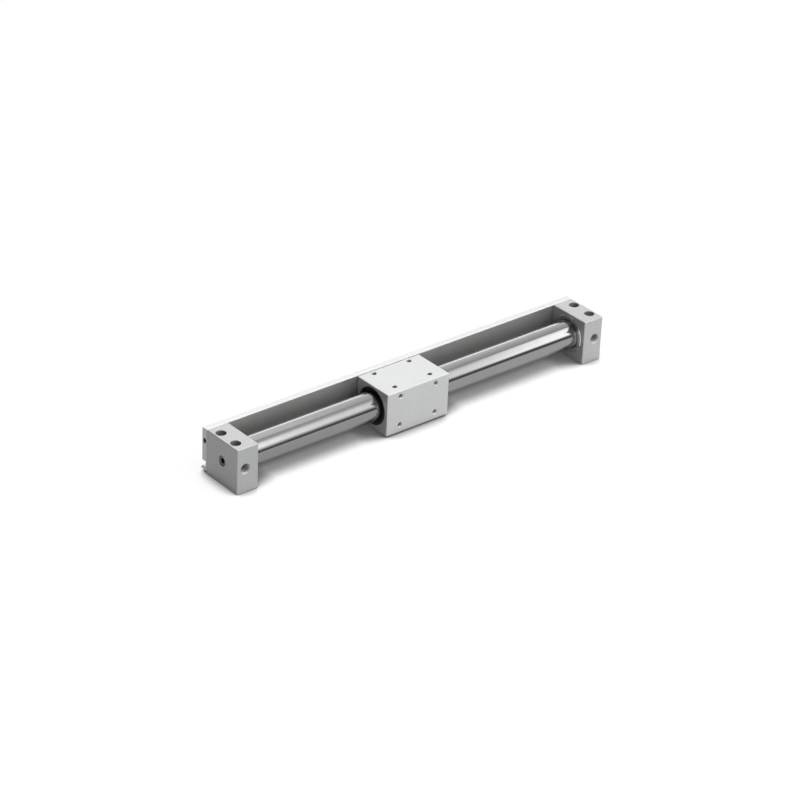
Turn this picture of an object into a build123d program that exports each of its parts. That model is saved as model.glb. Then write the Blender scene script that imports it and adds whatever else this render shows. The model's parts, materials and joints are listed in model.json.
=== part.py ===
from build123d import *

import os

# Magnetically coupled rodless air cylinder, in millimetres.
# X runs along the tube, -Y is the side with the air ports, +Y the side with the sensor rail.
# The origin is on the mounting plane, under the middle of the tube.

os.makedirs("parts", exist_ok=True)

# Driving sizes
stroke = 300.0
bore_radius = 12.5
tube_wall = 1.4
axis_height = 23.5
slider_rest = -10.3
end_gap = 2.0
fit_clearance = 0.05
overrun = 1.0
edge_break = 0.4
mouth_angle = 90.0

# End covers
cover_length = 22.0
cover_width = 44.0
cover_height = 44.0
seat_floor = 11.0
mount_hole_inset = 6.5
mount_hole_pitch = 21.0
mount_hole_radius = 2.8
mount_counterbore_radius = 4.8
mount_counterbore_depth = 5.5

# Air ports
port_inset = 8.5
port_radius = 4.3
port_chamfer = 0.8
side_port_depth = 7.0
end_port_depth = 7.0
air_passage_radius = 2.2
side_passage_radius = 1.0
side_passage_mouth_inset = 2.4
side_passage_overlap = 0.6

# Tube ends: gasket, snap ring and ring nut
tube_groove_depth = 0.5
snap_ring_thickness = 1.2
snap_ring_height = 2.1
snap_ring_gap = 6.0
gasket_thickness = 2.0
gasket_width = 2.0
gasket_inset = 2.5
nut_recess_depth = 5.9
nut_wall = 4.4
nut_proud = 0.8
nut_chamfer = 0.6
nut_slot_width = 2.6
nut_slot_depth = 1.6
nut_slot_count = 4
nut_slot_turn = 23.0

# Bumpers
spigot_radius = 4.5
spigot_height = 2.0
bumper_radius = 9.8
bumper_thickness = 3.0
bumper_rounding = 0.6

# Port plugs
plug_length = 6.0
plug_inset = 0.9
plug_hex_across = 5.0
plug_hex_depth = 3.6
plug_chamfer = 0.4

# Sensor rail
rail_thickness = 6.5
rail_height = 41.0
rail_slot_width = 4.6
rail_slot_depth = 5.0
rail_lip_height = 4.0
rail_lip_reach = 1.5
rail_passage_top_inset = 12.3
rail_passage_radius = 2.2
rail_passage_chamfer = 0.5
rail_screw_slot_land = 5.4
rail_screw_top_inset = 5.5
rail_screw_inset = 11.0
rail_screw_radius = 1.95
rail_screw_depth = 5.0
rail_screw_hole_spare = 0.6
rail_screw_head_radius = 3.5
rail_screw_head_height = 4.0
rail_screw_hex_across = 3.0
rail_screw_hex_depth = 2.2
rail_screw_room = 0.2
rail_plug_length = 5.0
rail_plug_inset = 0.8
rail_plug_hex_across = 2.5
rail_plug_hex_depth = 2.4
shield_thickness = 0.5
shield_height = 29.0
shield_top_inset = 1.0

# Slider
slider_length = 70.0
slider_width = 43.0
slider_height = 41.5
slider_ground_gap = 2.0
slider_rail_gap = 0.5
slider_gap = 0.5
slider_magnet_wall = 2.45
slider_mouth_radius = 18.0
slider_mouth_depth = 0.8
table_hole_pitch_x = 40.0
table_hole_pitch_y = 29.0
table_hole_offset_y = 2.5
table_hole_radius = 2.1
table_hole_depth = 5.0
table_hole_chamfer = 0.5
slider_snap_thickness = 1.2
slider_snap_bite = 0.6
slider_snap_height = 2.1
slider_snap_gap = 9.0
scraper_width = 3.2
scraper_lip_width = 1.2
scraper_lip_relief = 1.4
slider_lube_width = 3.0
slider_wear_width = 6.0
switch_magnet_length = 18.0
switch_magnet_height = 4.0
switch_magnet_depth = 3.0
switch_magnet_inset = 0.2

# Magnet stacks, the same pitch on the slider and on the piston
magnet_count = 4
yoke_width = 2.6
shaft_radius = 4.0
inner_magnet_gap = 0.4
inner_yoke_gap = 0.2

# Pistons
stop_clearance = 0.3
piston_gap = 0.3
piston_nut_height = 4.5
piston_nut_across = 13.0
piston_seal_width = 3.5
piston_seal_depth = 2.6
piston_seal_lip = 0.8
piston_seal_notch = 1.6
piston_wear_width = 6.0
piston_wear_depth = 1.2
piston_lube_width = 2.0
piston_lube_depth = 1.5
piston_land = 1.6
piston_nose_chamfer = 0.8

# Worked out from the driving sizes
tube_radius = bore_radius + tube_wall
overall_length = stroke + slider_length + 2 * (cover_length + end_gap)
end_x = -overall_length / 2
cover_inner_x = end_x + cover_length
floor_x = end_x + seat_floor
nut_floor_x = cover_inner_x - nut_recess_depth
nut_radius = tube_radius + nut_wall
nut_bore_radius = tube_radius + 2 * fit_clearance
snap_ring_inner = tube_radius - tube_groove_depth + fit_clearance
snap_ring_outer = snap_ring_inner + snap_ring_height
rail_inner_y = cover_width / 2
rail_outer_y = rail_inner_y + rail_thickness
rail_bottom = cover_height - rail_height
slot_low = rail_bottom + rail_lip_height
slot_high = slot_low + rail_slot_width
rail_passage_height = cover_height - rail_passage_top_inset
rail_screw_heights = (slot_high + rail_screw_slot_land, cover_height - rail_screw_top_inset)
shield_bottom = cover_height - shield_top_inset - shield_height
rail_passage_y = (rail_inner_y + shield_thickness + rail_outer_y) / 2
slider_bore_radius = tube_radius + slider_gap + slider_magnet_wall + fit_clearance
slider_left_x = slider_rest - slider_length / 2
slider_middle_z = slider_ground_gap + slider_height / 2
slider_front_y = -slider_width / 2
slider_back_y = rail_inner_y - slider_rail_gap
slider_middle_y = (slider_front_y + slider_back_y) / 2
slider_top_z = slider_ground_gap + slider_height
snap_x = slider_left_x + slider_mouth_depth
scraper_x = snap_x + slider_snap_thickness
slider_lube_x = scraper_x + scraper_width
slider_wear_x = slider_lube_x + slider_lube_width
stack_x = slider_wear_x + slider_wear_width
stack_length = 2 * (slider_rest - stack_x)
magnet_width = (stack_length - (magnet_count + 1) * yoke_width) / magnet_count
stack_pitch = magnet_width + yoke_width
chamber_length = overall_length - 2 * (seat_floor + bumper_thickness)
piston_assembly_length = chamber_length - stroke - 2 * stop_clearance
piston_left_x = slider_rest - piston_assembly_length / 2
piston_nose_x = piston_left_x + piston_nut_height
piston_radius = bore_radius - piston_gap

tube_axis = Axis((0, 0, axis_height), (1, 0, 0))
# Half-section plane: its x runs along the tube and its y is the radius from the tube's axis.
section = Plane(origin=(0, 0, axis_height), x_dir=(1, 0, 0), z_dir=(0, -1, 0))


def square_to_tube(x):
    """The plane square to the tube's axis at x, facing +X, with its origin on the axis."""
    return Plane(origin=(x, 0, axis_height), x_dir=(0, 1, 0), z_dir=(1, 0, 0))


def ring(x, width, inner, outer):
    """A plain ring about the tube's axis that starts at x."""
    with BuildPart() as made:
        with BuildSketch(square_to_tube(x)):
            Circle(outer)
            Circle(inner, mode=Mode.SUBTRACT)
        extrude(amount=width)
    return made


def turned(points):
    """A piece turned about the tube's axis from a closed half section of (x, radius) points."""
    with BuildPart() as made:
        with BuildSketch(section):
            with BuildLine():
                Polyline(*points, close=True)
            make_face()
        revolve(axis=tube_axis)
    return made


def mirrored(piece, x=0):
    """The same piece on the other side of the plane square to the tube at x."""
    with BuildPart() as made:
        mirror(piece.part, about=Plane.YZ.offset(x))
    return made


def save(piece, name):
    """Labels a finished piece and writes it as one STEP file."""
    piece.part.label = name
    export_step(piece.part, f"parts/{name}.step")


def save_pair(piece, name, x=0):
    """Saves a left-hand piece and its mirror image on the right."""
    save(piece, f"{name}_left")
    save(mirrored(piece, x), f"{name}_right")


# End cover: a square block with the tube seat, gasket groove, nut recess, ports and mounting holes
seat_radius = tube_radius + fit_clearance
gasket_x = floor_x + gasket_inset
gasket_outer = seat_radius + gasket_thickness
port_x = end_x + port_inset
port_mouth_radius = port_radius + port_chamfer
side_port_plane = Plane(origin=(port_x, -cover_width / 2, axis_height), x_dir=(1, 0, 0), z_dir=(0, -1, 0))
end_port_plane = Plane(origin=(end_x, 0, axis_height), x_dir=(0, -1, 0), z_dir=(-1, 0, 0))
# The side port breaks into the tube seat by a short oblique drilling that misses the mounting hole.
side_passage_from = Vector(floor_x + overrun, side_passage_mouth_inset - bore_radius, axis_height)
side_passage_to = Vector(port_x, side_port_depth - cover_width / 2 - side_passage_overlap, axis_height)
side_passage_run = side_passage_to - side_passage_from

with BuildPart() as end_cover:
    with BuildSketch(Plane.YZ.offset(end_x)):
        with Locations((0, cover_height / 2)):
            Rectangle(cover_width, cover_height)
    extrude(amount=cover_length)
    chamfer(end_cover.edges(), edge_break)
    with BuildSketch(section):
        with BuildLine():
            Polyline(
                (floor_x + spigot_height, 0),
                (floor_x + spigot_height, spigot_radius),
                (floor_x, spigot_radius),
                (floor_x, seat_radius),
                (gasket_x, seat_radius),
                (gasket_x, gasket_outer),
                (gasket_x + gasket_width, gasket_outer),
                (gasket_x + gasket_width, seat_radius),
                (nut_floor_x, seat_radius),
                (nut_floor_x, nut_radius + fit_clearance),
                (cover_inner_x + overrun, nut_radius + fit_clearance),
                (cover_inner_x + overrun, 0),
                close=True,
            )
        make_face()
    revolve(axis=tube_axis, mode=Mode.SUBTRACT)
    with Locations(end_port_plane):
        CounterSinkHole(port_radius, port_mouth_radius, end_port_depth, mouth_angle)
        Hole(air_passage_radius, seat_floor + spigot_height + overrun)
    with Locations(side_port_plane):
        CounterSinkHole(port_radius, port_mouth_radius, side_port_depth, mouth_angle)
    with BuildSketch(Plane(origin=side_passage_from, z_dir=side_passage_run)):
        Circle(side_passage_radius)
    extrude(amount=side_passage_run.length, mode=Mode.SUBTRACT)
    with Locations(Plane.XY.offset(cover_height)):
        with Locations((end_x + mount_hole_inset, 0)):
            with GridLocations(0, mount_hole_pitch, 1, 2):
                CounterBoreHole(mount_hole_radius, mount_counterbore_radius, mount_counterbore_depth)
    with Locations(Plane(origin=(0, rail_inner_y, 0), x_dir=(-1, 0, 0), z_dir=(0, 1, 0))):
        with Locations(*[(-end_x - rail_screw_inset, height) for height in rail_screw_heights]):
            Hole(rail_screw_radius + fit_clearance, rail_screw_depth + rail_screw_hole_spare)
save_pair(end_cover, "end_cover")

# Cylinder tube: thin stainless tube with a snap ring groove near each end
groove_x = nut_floor_x
groove_end_x = nut_floor_x + snap_ring_thickness + fit_clearance
groove_radius = tube_radius - tube_groove_depth

with BuildPart() as cylinder_tube:
    with BuildSketch(section):
        with BuildLine():
            Polyline(
                (floor_x, bore_radius),
                (floor_x, tube_radius),
                (groove_x, tube_radius),
                (groove_x, groove_radius),
                (groove_end_x, groove_radius),
                (groove_end_x, tube_radius),
                (0, tube_radius),
                (0, bore_radius),
                close=True,
            )
        make_face()
    revolve(axis=tube_axis)
    mirror(about=Plane.YZ)
save(cylinder_tube, "cylinder_tube")

# Tube gasket: rubber ring in the groove of the cover's seat, round the tube
tube_gasket = ring(
    gasket_x + fit_clearance,
    gasket_width - 2 * fit_clearance,
    seat_radius,
    gasket_outer - fit_clearance,
)
save_pair(tube_gasket, "tube_gasket")

# Snap ring: open steel ring in the tube's groove, which holds the tube in the cover
with BuildPart() as tube_snap_ring:
    with BuildSketch(square_to_tube(nut_floor_x)):
        Circle(snap_ring_outer)
        Circle(snap_ring_inner, mode=Mode.SUBTRACT)
        with Locations((0, -snap_ring_outer)):
            Rectangle(snap_ring_gap, 4 * snap_ring_height, mode=Mode.SUBTRACT)
    extrude(amount=snap_ring_thickness)
save_pair(tube_snap_ring, "tube_snap_ring")

# Ring nut: screws into the cover and traps the snap ring, with spanner slots in its front face
nut_front_x = cover_inner_x + nut_proud
nut_step_x = nut_floor_x + snap_ring_thickness + fit_clearance
nut_step_radius = snap_ring_outer + fit_clearance

with BuildPart() as tube_ring_nut:
    with BuildSketch(section):
        with BuildLine():
            Polyline(
                (nut_floor_x, nut_step_radius),
                (nut_floor_x, nut_radius),
                (nut_front_x - nut_chamfer, nut_radius),
                (nut_front_x, nut_radius - nut_chamfer),
                (nut_front_x, nut_bore_radius + nut_chamfer),
                (nut_front_x - nut_chamfer, nut_bore_radius),
                (nut_step_x, nut_bore_radius),
                (nut_step_x, nut_step_radius),
                close=True,
            )
        make_face()
    revolve(axis=tube_axis)
    with BuildSketch(square_to_tube(nut_front_x)):
        with PolarLocations(nut_radius, nut_slot_count, start_angle=nut_slot_turn):
            Rectangle(2 * nut_slot_depth, nut_slot_width)
    extrude(amount=-nut_slot_depth, mode=Mode.SUBTRACT)
save_pair(tube_ring_nut, "tube_ring_nut")

# End bumper: soft ring on the cover's spigot, which stops the piston
with BuildPart() as end_bumper:
    with BuildSketch(square_to_tube(floor_x)):
        Circle(bumper_radius)
        Circle(spigot_radius + fit_clearance, mode=Mode.SUBTRACT)
    extrude(amount=bumper_thickness)
    fillet(end_bumper.edges().group_by(Axis.X)[-1].sort_by(SortBy.RADIUS)[-1], bumper_rounding)
save_pair(end_bumper, "end_bumper")

# Port plug: taper plug with a hexagon socket, in the port of the cover's end face
with BuildPart() as end_port_plug:
    with BuildSketch(square_to_tube(end_x + plug_inset)):
        Circle(port_radius - fit_clearance)
    extrude(amount=plug_length)
    chamfer(end_port_plug.edges().group_by(Axis.X)[0], plug_chamfer)
    with BuildSketch(square_to_tube(end_x + plug_inset)):
        RegularPolygon(plug_hex_across / 2, 6, major_radius=False)
    extrude(amount=plug_hex_depth, mode=Mode.SUBTRACT)
save_pair(end_port_plug, "end_port_plug")

# Sensor rail: aluminium extrusion along the back, with an air passage and a sensor slot over a curved lip
slot_floor_y = rail_outer_y - rail_slot_depth
lip_reach = rail_slot_depth + rail_lip_reach
passage_mouth_radius = rail_passage_radius + rail_passage_chamfer
shield_length = overall_length - 2 * cover_length - 2 * fit_clearance
rail_back = Plane(origin=(0, rail_outer_y, 0), x_dir=(-1, 0, 0), z_dir=(0, 1, 0))
screw_x = -end_x - rail_screw_inset
rail_screw_spots = [(side * screw_x, height) for side in (-1, 1) for height in rail_screw_heights]

with BuildPart() as switch_rail:
    with BuildSketch(Plane.YZ.offset(end_x)):
        with BuildLine():
            Polyline(
                (slot_floor_y + lip_reach, rail_bottom),
                (rail_inner_y, rail_bottom),
                (rail_inner_y, cover_height),
                (rail_outer_y, cover_height),
                (rail_outer_y, slot_high),
                (slot_floor_y, slot_high),
                (slot_floor_y, slot_low),
            )
            EllipticalCenterArc((slot_floor_y, rail_bottom), lip_reach, rail_lip_height, arc_size=90)
        make_face()
    extrude(amount=overall_length)
    chamfer(switch_rail.edges().group_by(Axis.Z)[-1].filter_by(Axis.X), edge_break)
    with BuildSketch(Plane.XZ.offset(-rail_inner_y)):
        with Locations((0, shield_bottom)):
            Rectangle(
                shield_length + 2 * fit_clearance,
                shield_height + fit_clearance,
                align=(Align.CENTER, Align.MIN),
            )
    extrude(amount=-shield_thickness, mode=Mode.SUBTRACT)
    with Locations(*[
        Plane(
            origin=(side * end_x, rail_passage_y, rail_passage_height),
            x_dir=(0, 1, 0),
            z_dir=(-side, 0, 0),
        )
        for side in (-1, 1)
    ]):
        CounterSinkHole(
            rail_passage_radius,
            passage_mouth_radius,
            overall_length / 2 + overrun,
            mouth_angle,
        )
    with Locations(rail_back):
        with Locations(*rail_screw_spots):
            CounterBoreHole(
                rail_screw_radius + rail_screw_room,
                rail_screw_head_radius + rail_screw_room,
                rail_screw_head_height + rail_screw_room,
                rail_thickness + overrun,
            )
save(switch_rail, "switch_rail")

# Shield plate: thin steel strip let into the rail's inner face
with BuildPart() as magnetic_shield_plate:
    with BuildSketch(Plane.XZ.offset(-rail_inner_y)):
        with Locations((0, shield_bottom)):
            Rectangle(shield_length, shield_height, align=(Align.CENTER, Align.MIN))
    extrude(amount=-shield_thickness)
save(magnetic_shield_plate, "magnetic_shield_plate")

# Rail screws: socket head cap screws through the rail into both covers
with BuildPart() as rail_screws:
    with BuildSketch(rail_back.offset(-rail_screw_room)):
        with Locations(*rail_screw_spots):
            Circle(rail_screw_head_radius)
    extrude(amount=-rail_screw_head_height)
    with BuildSketch(rail_back.offset(-rail_screw_room - rail_screw_head_height)):
        with Locations(*rail_screw_spots):
            Circle(rail_screw_radius)
    extrude(amount=rail_screw_room + rail_screw_head_height - rail_thickness - rail_screw_depth)
    with BuildSketch(rail_back.offset(-rail_screw_room)):
        with Locations(*rail_screw_spots):
            RegularPolygon(rail_screw_hex_across / 2, 6, major_radius=False)
    extrude(amount=-rail_screw_hex_depth, mode=Mode.SUBTRACT)
save(rail_screws, "rail_screws")

# Passage plugs: set screws in both ends of the rail's air passage
with BuildPart() as rail_passage_plugs:
    passage_start = Plane.YZ.offset(end_x + rail_plug_inset)
    with BuildSketch(passage_start):
        with Locations((rail_passage_y, rail_passage_height)):
            Circle(rail_passage_radius - fit_clearance)
    extrude(amount=rail_plug_length)
    with BuildSketch(passage_start):
        with Locations((rail_passage_y, rail_passage_height)):
            RegularPolygon(rail_plug_hex_across / 2, 6, major_radius=False)
    extrude(amount=rail_plug_hex_depth, mode=Mode.SUBTRACT)
    mirror(about=Plane.YZ)
save(rail_passage_plugs, "rail_passage_plugs")

# Slider body: block bored for the tube and its magnet rings, with tapped holes on its top and front.
# Its front lies half its width from the tube's axis, and its back keeps its gap to the rail.
snap_groove_radius = slider_mouth_radius + slider_snap_bite
slider_top = Plane.XY.offset(slider_top_z)
slider_front = Plane(origin=(slider_rest, slider_front_y, axis_height), x_dir=(1, 0, 0), z_dir=(0, -1, 0))
table_hole_mouth = table_hole_radius + table_hole_chamfer
switch_magnet_bottom = (slot_low + slot_high - switch_magnet_height) / 2

with BuildPart() as slider_body:
    with BuildSketch(Plane.YZ.offset(slider_left_x)):
        with Locations((slider_middle_y, slider_middle_z)):
            Rectangle(slider_back_y - slider_front_y, slider_height)
    extrude(amount=slider_length)
    chamfer(slider_body.edges(), edge_break)
    with BuildSketch(square_to_tube(slider_left_x)):
        Circle(slider_bore_radius)
    extrude(amount=slider_length, mode=Mode.SUBTRACT)
    for side in (-1, 1):
        with BuildSketch(square_to_tube(slider_rest + side * (slider_rest - slider_left_x))):
            Circle(slider_mouth_radius)
        extrude(amount=-side * slider_mouth_depth, mode=Mode.SUBTRACT)
        with BuildSketch(square_to_tube(slider_rest + side * (slider_rest - snap_x))):
            Circle(snap_groove_radius)
        extrude(amount=-side * slider_snap_thickness, mode=Mode.SUBTRACT)
    with Locations(slider_top):
        with Locations((slider_rest, slider_middle_y + table_hole_offset_y)):
            with GridLocations(table_hole_pitch_x, table_hole_pitch_y, 2, 2):
                CounterSinkHole(table_hole_radius, table_hole_mouth, table_hole_depth, mouth_angle)
    with Locations(slider_front):
        with GridLocations(table_hole_pitch_x, table_hole_pitch_y, 2, 2):
            CounterSinkHole(table_hole_radius, table_hole_mouth, table_hole_depth, mouth_angle)
    with BuildSketch(Plane.XZ.offset(-slider_back_y)):
        with Locations((slider_rest, switch_magnet_bottom)):
            Rectangle(
                switch_magnet_length + 2 * fit_clearance,
                switch_magnet_height + fit_clearance,
                align=(Align.CENTER, Align.MIN),
            )
    extrude(amount=switch_magnet_depth + switch_magnet_inset, mode=Mode.SUBTRACT)
save(slider_body, "slider_body")

# Switch magnet: small bar in the back of the slider, level with the rail's sensor slot
with BuildPart() as switch_magnet:
    with BuildSketch(Plane.XZ.offset(switch_magnet_inset - slider_back_y)):
        with Locations((slider_rest, switch_magnet_bottom)):
            Rectangle(switch_magnet_length, switch_magnet_height, align=(Align.CENTER, Align.MIN))
    extrude(amount=switch_magnet_depth)
save(switch_magnet, "switch_magnet")

# Slider snap ring: open internal ring in the groove just inside each end of the bore
slider_snap_outer = snap_groove_radius - fit_clearance
slider_snap_inner = snap_groove_radius - slider_snap_height

with BuildPart() as slider_snap_ring:
    with BuildSketch(square_to_tube(snap_x)):
        Circle(slider_snap_outer)
        Circle(slider_snap_inner, mode=Mode.SUBTRACT)
        with Locations((0, -slider_snap_outer)):
            Rectangle(slider_snap_gap, 4 * slider_snap_height, mode=Mode.SUBTRACT)
    extrude(amount=slider_snap_thickness)
save_pair(slider_snap_ring, "slider_snap_ring", slider_rest)

# Slider scraper: rubber ring with a thin lip that wipes the tube
liner_radius = slider_bore_radius - fit_clearance
running_radius = tube_radius + fit_clearance

slider_scraper = turned([
    (scraper_x, running_radius + scraper_lip_relief),
    (scraper_x, liner_radius),
    (scraper_x + scraper_width, liner_radius),
    (scraper_x + scraper_width, running_radius + scraper_lip_relief),
    (scraper_x + 2 * scraper_lip_width, running_radius + scraper_lip_relief),
    (scraper_x + scraper_lip_width, running_radius),
    (scraper_x, running_radius),
])
save_pair(slider_scraper, "slider_scraper", slider_rest)

# Lube retainer and wear ring: they carry the slider on the tube
slider_lube_ring = ring(slider_lube_x, slider_lube_width, running_radius, liner_radius)
save_pair(slider_lube_ring, "slider_lube_ring", slider_rest)
slider_wear_ring = ring(slider_wear_x, slider_wear_width, running_radius, liner_radius)
save_pair(slider_wear_ring, "slider_wear_ring", slider_rest)

# Magnet stacks: magnets between steel yokes, outside and inside the tube wall at the same pitch
shaft_seat = shaft_radius + fit_clearance
slider_stack_inner = tube_radius + slider_gap
inner_magnet_radius = bore_radius - inner_magnet_gap
inner_yoke_radius = bore_radius - inner_yoke_gap
for number in range(magnet_count + 1):
    yoke_x = stack_x + number * stack_pitch
    save(ring(yoke_x, yoke_width, slider_stack_inner, liner_radius), f"slider_yoke_{number + 1}")
    save(ring(yoke_x, yoke_width, shaft_seat, inner_yoke_radius), f"piston_yoke_{number + 1}")
for number in range(magnet_count):
    magnet_x = stack_x + yoke_width + number * stack_pitch
    save(ring(magnet_x, magnet_width, slider_stack_inner, liner_radius), f"slider_magnet_{number + 1}")
    save(ring(magnet_x, magnet_width, shaft_seat, inner_magnet_radius), f"piston_magnet_{number + 1}")

# Piston shaft: carries the inner magnets, both pistons and their nuts
with BuildPart() as piston_shaft:
    with BuildSketch(square_to_tube(piston_left_x)):
        Circle(shaft_radius)
    extrude(amount=piston_assembly_length)
    chamfer(piston_shaft.edges(), edge_break)
save(piston_shaft, "piston_shaft")

# Piston: turned aluminium, with grooves for the seal, the lube retainer and the wear ring
seal_x = piston_nose_x + piston_land + piston_nose_chamfer
lube_x = seal_x + piston_seal_width + piston_land
wear_x = lube_x + piston_lube_width + piston_land
seal_floor = piston_radius - piston_seal_depth
lube_floor = piston_radius - piston_lube_depth
wear_floor = piston_radius - piston_wear_depth

piston = turned([
    (piston_nose_x, shaft_seat),
    (piston_nose_x, piston_radius - piston_nose_chamfer),
    (piston_nose_x + piston_nose_chamfer, piston_radius),
    (seal_x, piston_radius),
    (seal_x, seal_floor),
    (seal_x + piston_seal_width, seal_floor),
    (seal_x + piston_seal_width, piston_radius),
    (lube_x, piston_radius),
    (lube_x, lube_floor),
    (lube_x + piston_lube_width, lube_floor),
    (lube_x + piston_lube_width, piston_radius),
    (wear_x, piston_radius),
    (wear_x, wear_floor),
    (wear_x + piston_wear_width, wear_floor),
    (wear_x + piston_wear_width, piston_radius),
    (stack_x, piston_radius),
    (stack_x, shaft_seat),
])
save_pair(piston, "piston", slider_rest)

# Piston seal: cup seal whose notch faces the air, in the groove behind the piston's nose
piston_ring_radius = bore_radius - fit_clearance
seal_inner = seal_floor + fit_clearance
seal_front_x = seal_x + fit_clearance
seal_back_x = seal_x + piston_seal_width - fit_clearance

piston_seal = turned([
    (seal_front_x, seal_inner),
    (seal_front_x, seal_inner + piston_seal_lip),
    (seal_front_x + piston_seal_notch, (seal_inner + piston_ring_radius) / 2),
    (seal_front_x, piston_ring_radius - piston_seal_lip),
    (seal_front_x, piston_ring_radius),
    (seal_back_x, piston_ring_radius - piston_gap),
    (seal_back_x, seal_inner),
])
save_pair(piston_seal, "piston_seal", slider_rest)

# Piston rings: lube retainer and wear ring in their grooves
piston_lube_ring = ring(
    lube_x + fit_clearance,
    piston_lube_width - 2 * fit_clearance,
    lube_floor + fit_clearance,
    piston_ring_radius,
)
save_pair(piston_lube_ring, "piston_lube_ring", slider_rest)
piston_wear_ring = ring(
    wear_x + fit_clearance,
    piston_wear_width - 2 * fit_clearance,
    wear_floor + fit_clearance,
    piston_ring_radius,
)
save_pair(piston_wear_ring, "piston_wear_ring", slider_rest)

# Piston nut: hexagon nut that clamps the piston against the magnet stack
with BuildPart() as piston_nut:
    with BuildSketch(square_to_tube(piston_left_x)):
        RegularPolygon(piston_nut_across / 2, 6, major_radius=False)
        Circle(shaft_seat, mode=Mode.SUBTRACT)
    extrude(amount=piston_nut_height)
save_pair(piston_nut, "piston_nut", slider_rest)
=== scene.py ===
import json
import math

import bmesh
import bpy
from mathutils import Matrix, Vector


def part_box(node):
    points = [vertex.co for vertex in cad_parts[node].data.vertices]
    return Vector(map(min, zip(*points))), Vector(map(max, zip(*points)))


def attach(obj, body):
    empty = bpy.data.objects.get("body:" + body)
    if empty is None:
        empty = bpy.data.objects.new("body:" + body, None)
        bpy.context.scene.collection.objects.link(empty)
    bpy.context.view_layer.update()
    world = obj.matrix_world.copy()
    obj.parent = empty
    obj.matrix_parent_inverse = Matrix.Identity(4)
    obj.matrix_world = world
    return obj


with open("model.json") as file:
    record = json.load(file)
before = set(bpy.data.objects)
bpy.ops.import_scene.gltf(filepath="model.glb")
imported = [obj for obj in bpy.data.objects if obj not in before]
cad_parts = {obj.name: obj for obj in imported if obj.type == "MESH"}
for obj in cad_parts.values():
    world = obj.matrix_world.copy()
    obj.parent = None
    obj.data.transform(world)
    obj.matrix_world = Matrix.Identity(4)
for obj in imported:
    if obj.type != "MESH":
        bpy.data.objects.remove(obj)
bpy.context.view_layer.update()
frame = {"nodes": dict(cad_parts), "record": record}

# End covers: two blocks cut from square aluminium bar, bored and tapped, then bead-blasted and
# clear anodised, which leaves a pale, even, slightly sparkling grey. They stand on the machine bed
# and hold the tube, the rail and both air ports.


def add(tree, kind, settings, sockets):
    """One shader node with its settings, and its sockets given as values or as links."""
    made = tree.nodes.new(kind)
    for name, value in settings.items():
        setattr(made, name, value)
    for name, value in sockets.items():
        if isinstance(value, bpy.types.NodeSocket):
            tree.links.new(value, made.inputs[name])
        else:
            made.inputs[name].default_value = value
    return made


def between(tree, source, low, high):
    """The source, from 0 to 1, spread over low to high."""
    return add(tree, "ShaderNodeMapRange", {}, {
        "Value": source, "To Min": low, "To Max": high}).outputs["Result"]


def grain(tree, per_metre, stretch=(1, 1, 1), detail=3.0):
    """Noise that stays with the metal, in grains per metre, drawn out along the axes by stretch."""
    finer_share = 0.6
    place = add(tree, "ShaderNodeTexCoord", {}, {}).outputs["Object"]
    spread = add(tree, "ShaderNodeMapping", {}, {"Vector": place, "Scale": stretch}).outputs["Vector"]
    return add(tree, "ShaderNodeTexNoise", {}, {
        "Vector": spread, "Scale": per_metre, "Detail": detail, "Roughness": finer_share}).outputs["Fac"]


def finish(name, dark, pale, metallic, rough, smooth, pattern, relief, mottles_per_metre=90.0, **fixed):
    """A finish with a mottled tone from dark to pale, and with the pattern in its gloss and its relief."""
    bump_strength = 0.5
    made = bpy.data.materials.new(name)
    made.use_nodes = True
    tree = made.node_tree
    shader = tree.nodes["Principled BSDF"]
    drift = add(tree, "ShaderNodeMix", {"data_type": "RGBA"}, {
        "Factor": grain(tree, mottles_per_metre, detail=4.0), "A": (*dark, 1), "B": (*pale, 1)})
    tree.links.new(drift.outputs["Result"], shader.inputs["Base Color"])
    fine = pattern(tree)
    tree.links.new(between(tree, fine, rough, smooth), shader.inputs["Roughness"])
    bump = add(tree, "ShaderNodeBump", {}, {"Strength": bump_strength, "Distance": relief, "Height": fine})
    tree.links.new(bump.outputs["Normal"], shader.inputs["Normal"])
    shader.inputs["Metallic"].default_value = metallic
    for socket, value in fixed.items():
        shader.inputs[socket.replace("_", " ")].default_value = value
    return made


def dress(material, *names):
    """Gives the named pieces a finish, in every material slot that they have."""
    for name in names:
        piece = frame["nodes"][name]
        if not piece.data.materials:
            piece.data.materials.append(material)
        for place in range(len(piece.data.materials)):
            piece.data.materials[place] = material


def blasted(tree):
    """The dimples that glass beads leave."""
    return grain(tree, per_metre=2600.0, detail=4.0)


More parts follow.
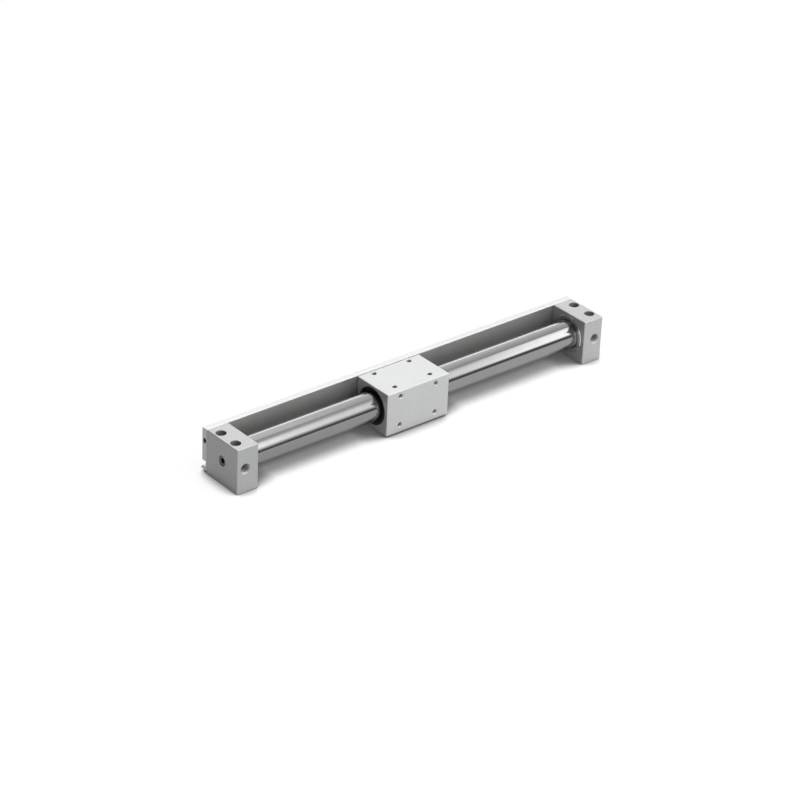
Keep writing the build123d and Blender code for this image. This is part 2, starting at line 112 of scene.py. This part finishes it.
def paint_shade_in_bores(material, name, mirrored, tone):
    """Paints shade, as a darker base colour, into what lies inside the named block, its bores and tapped
    holes, and inside its mirror image on the other side of the object's middle too, where the block has
    one. The painted shade deepens with depth below the block's faces."""
    starts_at_depth = 0.0003
    full_at_depth = 0.0008
    dark_from_the_end_pale_at_the_front = (3, 0.3, 1)
    tree = material.node_tree
    shader = tree.nodes["Principled BSDF"]
    low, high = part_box(name)
    place = add(tree, "ShaderNodeTexCoord", {}, {}).outputs["Object"]
    if mirrored:
        place = add(tree, "ShaderNodeVectorMath", {"operation": "ABSOLUTE"}, {0: place}).outputs["Vector"]
    off = add(tree, "ShaderNodeVectorMath", {"operation": "SUBTRACT"}, {0: place, 1: (low + high) / 2})
    reach = add(tree, "ShaderNodeVectorMath", {"operation": "ABSOLUTE"}, {0: off.outputs["Vector"]})
    inset = add(tree, "ShaderNodeVectorMath", {"operation": "SUBTRACT"}, {
        0: (high - low) / 2, 1: reach.outputs["Vector"]})
    eased = add(tree, "ShaderNodeVectorMath", {"operation": "MULTIPLY"}, {
        0: inset.outputs["Vector"], 1: dark_from_the_end_pale_at_the_front})
    apart = add(tree, "ShaderNodeSeparateXYZ", {}, {"Vector": eased.outputs["Vector"]})
    least = add(tree, "ShaderNodeMath", {"operation": "MINIMUM"}, {
        0: apart.outputs["X"], 1: apart.outputs["Y"]})
    depth = add(tree, "ShaderNodeMath", {"operation": "MINIMUM"}, {
        0: least.outputs["Value"], 1: apart.outputs["Z"]})
    share = add(tree, "ShaderNodeMapRange", {}, {
        "Value": depth.outputs["Value"], "From Min": starts_at_depth, "From Max": full_at_depth})
    before = shader.inputs["Base Color"].links[0].from_socket
    after = add(tree, "ShaderNodeMix", {"data_type": "RGBA", "blend_type": "MULTIPLY"}, {
        "Factor": share.outputs["Result"], "A": before, "B": (tone, tone, tone, 1)})
    tree.links.new(after.outputs["Result"], shader.inputs["Base Color"])


blasted_aluminium = finish(
    "blasted_aluminium", dark=(0.36, 0.365, 0.37), pale=(0.71, 0.715, 0.72), metallic=0.45,
    rough=0.54, smooth=0.36, pattern=blasted, relief=0.00007, mottles_per_metre=1150.0,
    Coat_Weight=0.15, Coat_Roughness=0.35, Coat_IOR=1.5)
# Painted shade: the covers' bores, ports and holes are painted darker inside, down to 0.62 of their
# colour.
paint_shade_in_bores(blasted_aluminium, "end_cover_right", mirrored=True, tone=0.62)
dress(blasted_aluminium, "end_cover_left", "end_cover_right")

# Cylinder tube: thin stainless tube, cold drawn and then ground round and round, so that its grinding
# marks run about the axis. Its ends sit in the covers, and the slider runs along it.


def ground_round(tree):
    """Fine grinding marks about the tube, a little uneven along it."""
    return grain(tree, per_metre=40.0, stretch=(90.0, 1.0, 1.0), detail=5.0)


ground_stainless = finish(
    "ground_stainless", dark=(0.29, 0.29, 0.288), pale=(0.345, 0.345, 0.343), metallic=1.0,
    rough=0.18, smooth=0.10, pattern=ground_round, relief=0.000008,
    Anisotropic=0.5, Anisotropic_Rotation=0.25)
tube_tree = ground_stainless.node_tree
about_x = add(tube_tree, "ShaderNodeTangent", {"direction_type": "RADIAL", "axis": "X"}, {})
tube_tree.links.new(about_x.outputs["Tangent"], tube_tree.nodes["Principled BSDF"].inputs["Tangent"])
dress(ground_stainless, "cylinder_tube")

# Rubber seals: gaskets round the tube in both covers, the slider's scrapers and the pistons' cup
# seals. Moulded nitrile rubber, near black and faintly dusty, held in grooves and seats.


def moulded(tree):
    """The faint grain of a mould."""
    return grain(tree, per_metre=1500.0, detail=2.0)


nitrile_rubber = finish(
    "nitrile_rubber", dark=(0.016, 0.016, 0.017), pale=(0.026, 0.026, 0.028), metallic=0.0,
    rough=0.62, smooth=0.5, pattern=moulded, relief=0.00001)
for end in ("left", "right"):
    dress(nitrile_rubber, f"tube_gasket_{end}", f"slider_scraper_{end}", f"piston_seal_{end}")

# Snap rings: open rings of phosphated spring steel, dark grey, sprung into the groove at each end of
# the tube and into the groove at each end of the slider's bore.
phosphated_steel = finish(
    "phosphated_steel", dark=(0.085, 0.085, 0.088), pale=(0.13, 0.13, 0.134), metallic=0.7,
    rough=0.5, smooth=0.36, pattern=blasted, relief=0.00001)
for end in ("left", "right"):
    dress(phosphated_steel, f"tube_snap_ring_{end}", f"slider_snap_ring_{end}")

# Ring nuts and pistons: turned aluminium, clear anodised, with the lathe's fine rings about the tube's
# axis. The nuts are screwed into the covers round the tube, with a pin spanner in the four slots of
# the front face, and the pistons close the magnet stack inside the tube.


def turned_rings(tree):
    """Lathe marks: fine rings about the tube's axis, uneven from one to the next."""
    rings_per_metre = 7000.0
    place = add(tree, "ShaderNodeTexCoord", {}, {}).outputs["Object"]
    low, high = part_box("cylinder_tube")
    from_axis = add(tree, "ShaderNodeVectorMath", {"operation": "SUBTRACT"}, {
        0: place, 1: (low + high) / 2}).outputs["Vector"]
    flat = add(tree, "ShaderNodeVectorMath", {"operation": "MULTIPLY"}, {
        0: from_axis, 1: (0, 1, 1)}).outputs["Vector"]
    radius = add(tree, "ShaderNodeVectorMath", {"operation": "LENGTH"}, {0: flat}).outputs["Value"]
    return add(tree, "ShaderNodeTexNoise", {"noise_dimensions": "1D"}, {
        "W": radius, "Scale": rings_per_metre, "Detail": 2.0}).outputs["Fac"]


turned_aluminium = finish(
    "turned_aluminium", dark=(0.56, 0.565, 0.57), pale=(0.64, 0.645, 0.65), metallic=0.9,
    rough=0.34, smooth=0.22, pattern=turned_rings, relief=0.00001)
for end in ("left", "right"):
    dress(turned_aluminium, f"tube_ring_nut_{end}", f"piston_{end}")

# End bumpers: moulded polyurethane rings, dark grey, pressed on the spigot inside each cover, where
# they stop the piston.
bumper_urethane = finish(
    "bumper_urethane", dark=(0.075, 0.075, 0.082), pale=(0.095, 0.095, 0.102), metallic=0.0,
    rough=0.5, smooth=0.38, pattern=moulded, relief=0.00001)
dress(bumper_urethane, "end_bumper_left", "end_bumper_right")

# Port plugs: taper plugs of burnished steel, screwed below the face of each cover's end port, with a
# hexagon socket for the key.
burnished_steel = finish(
    "burnished_steel", dark=(0.12, 0.12, 0.123), pale=(0.19, 0.19, 0.193), metallic=0.95,
    rough=0.32, smooth=0.18, pattern=blasted, relief=0.00001)
dress(burnished_steel, "end_port_plug_left", "end_port_plug_right")

# Port threads: the 28 turns to the inch of the 1/8 inch pipe thread, cut in both open side ports of
# the covers. Each is the covers' own aluminium, a rounded ridge that winds down the port's wall.


def thread(name, mouth, inward, radius, depth, pitch, ridge, steps_per_turn):
    """A ridge winding down a hole's wall from its mouth, tapering away at both ends."""
    sunk_share = 0.15
    flank_share = 0.42
    crest_share = 0.10
    start_share = 0.5
    run_out_turns = 0.5
    axis = Vector(inward).normalized()
    side = axis.orthogonal().normalized()
    other = axis.cross(side)
    sunk = radius + sunk_share * ridge
    turns = depth / pitch - 1
    made = bmesh.new()
    rings = []
    for step in range(int(turns * steps_per_turn) + 1):
        turn = step / steps_per_turn
        fade = min(1, turn / run_out_turns, (turns - turn) / run_out_turns)
        crest = radius - ridge * max(fade, 0)
        middle = pitch * (turn + start_share)
        outward = side * math.cos(math.tau * turn) + other * math.sin(math.tau * turn)
        section = [(sunk, -flank_share), (crest, -crest_share), (crest, crest_share), (sunk, flank_share)]
        rings.append([
            made.verts.new(Vector(mouth) + outward * reach + axis * (middle + share * pitch))
            for reach, share in section
        ])
    for near, far in zip(rings, rings[1:]):
        for place in range(len(near)):
            after = (place + 1) % len(near)
            made.faces.new((near[place], near[after], far[after], far[place]))
    made.faces.new(rings[0])
    made.faces.new(reversed(rings[-1]))
    bmesh.ops.recalc_face_normals(made, faces=made.faces)
    mesh = bpy.data.meshes.new(name)
    made.to_mesh(mesh)
    made.free()
    piece = bpy.data.objects.new(name, mesh)
    bpy.context.scene.collection.objects.link(piece)
    return piece


mm = 0.001
port_thread_pitch = 0.000907
port_thread_ridge = 0.00038
port_steps_per_turn = 40
for mount in frame["record"]["mounts"]:
    if mount["name"].startswith("air_port"):
        inward = -Vector(mount["axis"])
        port_radius = mount["dims"]["r_mm"] * mm
        port_depth = mount["dims"]["length_mm"] * mm
        mouth = Vector(mount["pos_m"]) - inward * port_depth / 2
        winding = thread(
            mount["name"] + "_thread", mouth, inward, port_radius, port_depth,
            port_thread_pitch, port_thread_ridge, port_steps_per_turn)
        winding.data.materials.append(blasted_aluminium)
        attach(winding, "base")

# Sensor rail: an aluminium extrusion screwed to the back of both covers, clear anodised over faint
# die lines along its length. Its slot takes a position switch, and a passage inside carries air.


def die_lines(tree):
    """Lines that the extrusion die, or the mill's rolls, draw along X."""
    return grain(tree, per_metre=2400.0, stretch=(0.004, 1.0, 1.0), detail=3.0)


extruded_aluminium = finish(
    "extruded_aluminium", dark=(0.67, 0.675, 0.68), pale=(0.74, 0.745, 0.75), metallic=0.42,
    rough=0.44, smooth=0.26, pattern=die_lines, relief=0.00002,
    Coat_Weight=0.25, Coat_Roughness=0.3, Coat_IOR=1.6)
dress(extruded_aluminium, "switch_rail")

# Shield plate: a thin strip of rolled, nickel plated steel let into the rail's inner face, which
# keeps the slider's magnets from the switches.
rolled_nickel = finish(
    "rolled_nickel", dark=(0.41, 0.408, 0.402), pale=(0.51, 0.508, 0.502), metallic=0.65,
    rough=0.42, smooth=0.26, pattern=die_lines, relief=0.00001)
dress(rolled_nickel, "magnetic_shield_plate")

# Rail screws: socket head cap screws, zinc plated, which clamp the rail to the covers from the back.
# The plating is pale with a slight cloud. The piston's nuts have the same finish.


def plated_cloud(tree):
    """The uneven cloud of a plated coat."""
    return grain(tree, per_metre=700.0, detail=3.0)


zinc_plate = finish(
    "zinc_plate", dark=(0.42, 0.43, 0.44), pale=(0.55, 0.56, 0.57), metallic=0.9,
    rough=0.4, smooth=0.26, pattern=plated_cloud, relief=0.000006)
dress(zinc_plate, "rail_screws", "piston_nut_left", "piston_nut_right")

# Passage plugs: short set screws with a hexagon socket, turned from steel and blackened, which close
# both ends of the rail's air passage. They sit a little below the rail's end faces.
blackened_steel = finish(
    "blackened_steel", dark=(0.030, 0.030, 0.032), pale=(0.055, 0.055, 0.058), metallic=0.75,
    rough=0.40, smooth=0.24, pattern=blasted, relief=0.00001)
dress(blackened_steel, "rail_passage_plugs")

# Slider body: one block of aluminium, bored through for the tube and its magnets. Its faces are
# milled with a fly cutter, whose faint arcs stay under the clear anodising, and its edges are broken.


def milled_arcs(tree):
    """Faint arcs of a large cutter on the top and on the front, with fine grain between them."""
    arcs_per_metre = 1500.0
    faces_up = 0.7
    seen_from_above = (1, 1, 0)
    seen_from_the_front = (1, 0, 1)
    cutter_share = Vector((-0.9, 0.15, 0.15))
    low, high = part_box("slider_body")
    centre = low + Vector(size * share for size, share in zip(high - low, cutter_share))
    place = add(tree, "ShaderNodeTexCoord", {}, {}).outputs["Object"]
    offset = add(tree, "ShaderNodeVectorMath", {"operation": "SUBTRACT"}, {0: place, 1: centre})
    facing = add(tree, "ShaderNodeNewGeometry", {}, {}).outputs["Normal"]
    upward = add(tree, "ShaderNodeSeparateXYZ", {}, {"Vector": facing}).outputs["Z"]
    is_top = add(tree, "ShaderNodeMath", {"operation": "GREATER_THAN"}, {0: upward, 1: faces_up})
    on_top = add(tree, "ShaderNodeVectorMath", {"operation": "MULTIPLY"}, {
        0: offset.outputs["Vector"], 1: seen_from_above})
    on_front = add(tree, "ShaderNodeVectorMath", {"operation": "MULTIPLY"}, {
        0: offset.outputs["Vector"], 1: seen_from_the_front})
    chosen = add(tree, "ShaderNodeMix", {"data_type": "VECTOR"}, {
        "Factor": is_top.outputs["Value"], "A": on_front.outputs["Vector"],
        "B": on_top.outputs["Vector"]}).outputs["Result"]
    radius = add(tree, "ShaderNodeVectorMath", {"operation": "LENGTH"}, {0: chosen}).outputs["Value"]
    return add(tree, "ShaderNodeTexNoise", {"noise_dimensions": "1D"}, {
        "W": radius, "Scale": arcs_per_metre, "Detail": 3.0}).outputs["Fac"]


milled_aluminium = finish(
    "milled_aluminium", dark=(0.63, 0.635, 0.64), pale=(0.70, 0.705, 0.71), metallic=0.4,
    rough=0.48, smooth=0.30, pattern=milled_arcs, relief=0.00004,
    Coat_Weight=0.15, Coat_Roughness=0.28, Coat_IOR=1.5)
# Painted shade: the slider's bore and tapped holes are painted darker inside, down to 0.30 of their
# colour.
paint_shade_in_bores(milled_aluminium, "slider_body", mirrored=False, tone=0.30)
dress(milled_aluminium, "slider_body")

# Table threads: the M5 threads of the slider's eight holes, four in the top and four in the front,
# where a load is bolted on. Cut in the slider's own aluminium.
table_thread_depth = 0.0045
table_thread_pitch = 0.0008
table_thread_ridge = 0.00022
table_steps_per_turn = 32
for mount in frame["record"]["mounts"]:
    if mount["name"] in ("slider_top_bolts", "slider_front_bolts"):
        inward = -Vector(mount["axis"])
        across = Vector((0, abs(inward.z), abs(inward.y)))
        table_hole_radius = mount["dims"]["hole_r_mm"] * mm
        half_spacing_x = mount["dims"]["spacing_x_mm"] * mm / 2
        half_spacing_across = mount["dims"]["spacing_y_mm"] * mm / 2
        for side, side_name in ((-1, "left"), (1, "right")):
            for row, row_name in ((-1, "near"), (1, "far")):
                spot = Vector(mount["pos_m"])
                spot.x += side * half_spacing_x
                spot += across * row * half_spacing_across
                winding = thread(
                    f"{mount['name']}_thread_{side_name}_{row_name}", spot, inward, table_hole_radius,
                    table_thread_depth, table_thread_pitch, table_thread_ridge, table_steps_per_turn)
                winding.data.materials.append(milled_aluminium)
                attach(winding, "slider")

# Wear rings: bearing rings of filled resin, brown black, that carry the slider on the tube and the
# pistons in it.
bearing_resin = finish(
    "bearing_resin", dark=(0.075, 0.068, 0.060), pale=(0.105, 0.096, 0.086), metallic=0.0,
    rough=0.5, smooth=0.38, pattern=moulded, relief=0.00001)
for end in ("left", "right"):
    dress(bearing_resin, f"slider_wear_ring_{end}", f"piston_wear_ring_{end}")

# Lube rings: felt soaked in oil, behind the scrapers and on the pistons, which keeps the sliding
# surfaces wet.


def felted(tree):
    """The short fibres of pressed felt."""
    return grain(tree, per_metre=1800.0, stretch=(1.0, 0.35, 0.6), detail=5.0)


oiled_felt = finish(
    "oiled_felt", dark=(0.19, 0.175, 0.13), pale=(0.27, 0.25, 0.19), metallic=0.0,
    rough=0.85, smooth=0.6, pattern=felted, relief=0.00012)
for end in ("left", "right"):
    dress(oiled_felt, f"slider_lube_ring_{end}", f"piston_lube_ring_{end}")

# Magnets: axially magnetised rings, four in the slider and four on the piston at the same pitch, with
# a small bar in the slider's back for the position switch. All are nickel plated.
nickel_plate = finish(
    "nickel_plate", dark=(0.44, 0.43, 0.40), pale=(0.52, 0.51, 0.475), metallic=1.0,
    rough=0.28, smooth=0.18, pattern=plated_cloud, relief=0.000004)
magnets = [name for name in frame["nodes"] if "_magnet" in name and "magnetic" not in name]
dress(nickel_plate, *magnets)

# Yokes: turned steel rings between the magnets, which carry the field across the tube's wall, and the
# stainless shaft that holds the piston's rings.
turned_steel = finish(
    "turned_steel", dark=(0.34, 0.34, 0.345), pale=(0.42, 0.42, 0.425), metallic=1.0,
    rough=0.38, smooth=0.24, pattern=turned_rings, relief=0.000008)
yokes = [name for name in frame["nodes"] if "_yoke_" in name]
dress(turned_steel, "piston_shaft", *yokes)

# Floor: a plain white sweep, whose glow is white to the camera. In the metal's reflections the glow is
# dimmer, a painted reflection that fades with distance, and brighter there on the right than on the left,
# a painted light. It gives little light back to the object. Close to the object its glow darkens by as
# much of the sky as the object hides, a painted shadow.
floor_radius = 12.0
floor_sides = 96
floor_drop = 0.00005
floor_made = bmesh.new()
bmesh.ops.create_circle(floor_made, cap_ends=True, segments=floor_sides, radius=floor_radius)
floor_mesh = bpy.data.meshes.new("floor")
floor_made.to_mesh(floor_mesh)
floor_made.free()
floor = bpy.data.objects.new("floor", floor_mesh)
floor.location.z = -floor_drop
bpy.context.scene.collection.objects.link(floor)
floor_white = bpy.data.materials.new("floor_white")
floor_white.use_nodes = True
floor_tree = floor_white.node_tree
floor_tree.nodes.remove(floor_tree.nodes["Principled BSDF"])
ray = add(floor_tree, "ShaderNodeLightPath", {}, {})
sharp_rays = add(floor_tree, "ShaderNodeMath", {"operation": "ADD"}, {
    0: ray.outputs["Is Glossy Ray"], 1: ray.outputs["Is Transmission Ray"]}).outputs["Value"]
seen = add(floor_tree, "ShaderNodeMath", {"operation": "ADD", "use_clamp": True}, {
    0: sharp_rays, 1: ray.outputs["Is Camera Ray"]}).outputs["Value"]
# Painted shadow: the floor's glow is darkened near the object by how much of the sky the object hides.
shadow_reach = 0.024
open_sky_share = 0.76
hidden_sky_share = 0.42
open_glow = 0.88
hidden_glow = 0.06
sky_share = add(floor_tree, "ShaderNodeAmbientOcclusion", {"samples": 16}, {
    "Distance": shadow_reach}).outputs["AO"]
glow_under_painted_shadow = add(floor_tree, "ShaderNodeMapRange", {}, {
    "Value": sky_share, "From Min": hidden_sky_share, "From Max": open_sky_share,
    "To Min": hidden_glow, "To Max": open_glow}).outputs["Result"]
unseen_grey = (0.28, 0.28, 0.28, 1)
seen_grey = (0.18, 0.18, 0.18, 1)
floor_colour = add(floor_tree, "ShaderNodeMix", {"data_type": "RGBA"}, {
    "Factor": seen, "A": unseen_grey, "B": seen_grey}).outputs["Result"]
floor_matt = add(floor_tree, "ShaderNodeBsdfDiffuse", {}, {"Color": floor_colour})
floor_place = add(floor_tree, "ShaderNodeTexCoord", {}, {}).outputs["Object"]
floor_distance = add(floor_tree, "ShaderNodeVectorMath", {"operation": "LENGTH"}, {
    0: floor_place}).outputs["Value"]
# Painted reflection: the floor's glow, as the metal mirrors it, is painted dimmer with distance from the
# object.
near_distance = 0.25
far_distance = 0.9
mirrored_near_share = 0.70
mirrored_far_share = 0.30
painted_reflection_fade = add(floor_tree, "ShaderNodeMapRange", {}, {
    "Value": floor_distance, "From Min": near_distance, "From Max": far_distance,
    "To Min": mirrored_near_share, "To Max": mirrored_far_share}).outputs["Result"]
# Painted light: the floor's glow in reflections is painted brighter towards the right, as if lit from
# there.
floor_across = add(floor_tree, "ShaderNodeSeparateXYZ", {}, {"Vector": floor_place}).outputs["X"]
left_end_x = -0.2
right_end_x = 0.25
left_end_share = 0.96
right_end_share = 1.3
painted_brightening_to_the_right = add(floor_tree, "ShaderNodeMapRange", {}, {
    "Value": floor_across, "From Min": left_end_x, "From Max": right_end_x,
    "To Min": left_end_share, "To Max": right_end_share}).outputs["Result"]
mirrored_floor = add(floor_tree, "ShaderNodeMath", {"operation": "MULTIPLY"}, {
    0: painted_reflection_fade, 1: painted_brightening_to_the_right}).outputs["Value"]
floor_seen = add(floor_tree, "ShaderNodeMath", {"operation": "MULTIPLY_ADD", "use_clamp": True}, {
    0: sharp_rays, 1: mirrored_floor, 2: ray.outputs["Is Camera Ray"]}).outputs["Value"]
floor_lift = add(floor_tree, "ShaderNodeMath", {"operation": "MULTIPLY"}, {
    0: floor_seen, 1: glow_under_painted_shadow}).outputs["Value"]
floor_glow = add(floor_tree, "ShaderNodeEmission", {}, {"Strength": floor_lift})
floor_sum = add(floor_tree, "ShaderNodeAddShader", {}, {
    0: floor_matt.outputs["BSDF"], 1: floor_glow.outputs["Emission"]})
floor_tree.links.new(floor_sum.outputs["Shader"], floor_tree.nodes["Material Output"].inputs["Surface"])
floor_mesh.materials.append(floor_white)

# Studio: a room round the object, brightest low behind it, pale high in front and grey overhead, with
# a dark gap low in front that draws the dark line along the tube. It is nearly dark on the left, pale
# on the right, and dimmer again at the far right, which would dazzle in the tops seen from the left.
studio = bpy.data.worlds.new("studio")
studio.use_nodes = True
bpy.context.scene.world = studio
studio_tree = studio.node_tree
direction = add(studio_tree, "ShaderNodeTexCoord", {}, {}).outputs["Generated"]
parts = add(studio_tree, "ShaderNodeSeparateXYZ", {}, {"Vector": direction})
frontward = add(studio_tree, "ShaderNodeMath", {"operation": "MULTIPLY"}, {0: parts.outputs["Y"], 1: -1.0})
lean = add(studio_tree, "ShaderNodeMath", {"operation": "ARCTAN2"}, {
    0: frontward.outputs["Value"], 1: parts.outputs["Z"]}).outputs["Value"]
lean_share = add(studio_tree, "ShaderNodeMapRange", {}, {
    "Value": lean, "From Min": -math.pi, "From Max": math.pi}).outputs["Result"]
# Degrees from straight up towards the front, and how bright the room is there.
room_bands = (
    (-180, 0.50), (-95, 0.90), (-80, 1.20), (-68, 1.10), (-52, 0.71), (-30, 0.54), (-8, 0.44), (4, 0.36),
    (14, 0.44), (28, 0.64), (56, 0.68), (68, 0.42), (78, 0.06), (92, 0.06), (98, 0.45), (179, 0.50))
round_ramp = add(studio_tree, "ShaderNodeValToRGB", {}, {"Fac": lean_share})
band_steps = round_ramp.color_ramp.elements
band_steps.remove(band_steps[1])
for degrees, bright in room_bands:
    if degrees > room_bands[0][0]:
        band_steps.new((degrees + 180) / 360)
    band_steps[len(band_steps) - 1].color = (bright, bright, bright, 1)
dark_left_from = -0.38
pale_right_from = 0.48
left_share = 0.03
right_share = 1.05
side_share = add(studio_tree, "ShaderNodeMapRange", {"interpolation_type": "SMOOTHSTEP"}, {
    "Value": parts.outputs["X"], "From Min": dark_left_from, "From Max": pale_right_from,
    "To Min": left_share, "To Max": right_share})
far_right_from = 0.59
far_right_full = 0.76
far_right_share = 0.4
far_share = add(studio_tree, "ShaderNodeMapRange", {"interpolation_type": "SMOOTHSTEP"}, {
    "Value": parts.outputs["X"], "From Min": far_right_from, "From Max": far_right_full,
    "To Min": 1.0, "To Max": far_right_share})
along_share = add(studio_tree, "ShaderNodeMath", {"operation": "MULTIPLY"}, {
    0: side_share.outputs["Result"], 1: far_share.outputs["Result"]})
room_light = add(studio_tree, "ShaderNodeMath", {"operation": "MULTIPLY"}, {
    0: round_ramp.outputs["Color"], 1: along_share.outputs["Value"]}).outputs["Value"]
room_level = 2.0
room_strength = add(studio_tree, "ShaderNodeMath", {"operation": "MULTIPLY"}, {
    0: room_light, 1: room_level})
room = studio_tree.nodes["Background"]
room.inputs["Color"].default_value = (1, 1, 1, 1)
studio_tree.links.new(room_strength.outputs["Value"], room.inputs["Strength"])

# Lights: five soft boxes. The key and a large front one light the front faces and the tops, one on
# the right makes them brighter towards that end, a low one on the left lights the ends that face that
# way, dimly, so that the corners at the rail stay dark, and one hangs above and behind.


def soft_box(name, place, aim, width, height, watts):
    """A rectangular light whose long side runs as nearly along X as its aim allows."""
    light = bpy.data.lights.new(name, "AREA")
    light.shape = "RECTANGLE"
    light.size = width
    light.size_y = height
    light.energy = watts
    lamp = bpy.data.objects.new(name, light)
    lamp.location = place
    toward = (Vector(place) - Vector(aim)).normalized()
    along = (Vector((1, 0, 0)) - toward * toward.x).normalized()
    lamp.rotation_mode = "QUATERNION"
    lamp.rotation_quaternion = Matrix((along, toward.cross(along), toward)).transposed().to_quaternion()
    bpy.context.scene.collection.objects.link(lamp)


soft_box("key", place=(0.85, -0.80, 0.80), aim=(0, 0, 0.02), width=1.3, height=0.75, watts=1.2)
soft_box("front", place=(0.12, -1.15, 1.05), aim=(0, 0, 0.02), width=1.2, height=1.7, watts=10.5)
soft_box("right", place=(1.35, -0.60, 0.72), aim=(0.1, 0, 0.02), width=0.9, height=1.3, watts=6.0)
soft_box("left", place=(-0.90, -1.05, 0.25), aim=(-0.1, 0, 0.02), width=0.8, height=0.5, watts=1.8)
soft_box("overhead", place=(-0.15, 0.42, 1.05), aim=(-0.15, 0.4, 0), width=1.5, height=0.8, watts=1.5)

# Camera: a long lens 2.67 m away, to the left and in front, looking down by 30 degrees, with the
# slight roll that the photograph has.
camera_azimuth = math.radians(-40.546)
camera_elevation = math.radians(29.88)
camera_roll = math.radians(2.527)
camera_distance = 2.6739
aim_right = -0.0095
aim_up = 0.0124
lens_mm = 134.4
sight_limit = 100.0
back = Vector((
    math.sin(camera_azimuth) * math.cos(camera_elevation),
    -math.cos(camera_azimuth) * math.cos(camera_elevation),
    math.sin(camera_elevation)))
level = Vector((math.cos(camera_azimuth), math.sin(camera_azimuth), 0))
upright = back.cross(level)
rolled_right = level * math.cos(camera_roll) + upright * math.sin(camera_roll)
rolled_up = upright * math.cos(camera_roll) - level * math.sin(camera_roll)
target = rolled_right * aim_right + rolled_up * aim_up
lens = bpy.data.cameras.new("camera")
lens.lens = lens_mm
lens.clip_end = sight_limit
camera = bpy.data.objects.new("camera", lens)
camera.location = back * camera_distance
toward_camera = (camera.location - target).normalized()
camera_right = (rolled_right - toward_camera * rolled_right.dot(toward_camera)).normalized()
camera.rotation_mode = "QUATERNION"
camera.rotation_quaternion = Matrix(
    (camera_right, toward_camera.cross(camera_right), toward_camera)).transposed().to_quaternion()
bpy.context.scene.collection.objects.link(camera)
bpy.context.scene.camera = camera
bpy.context.scene.view_settings.view_transform = "Standard"
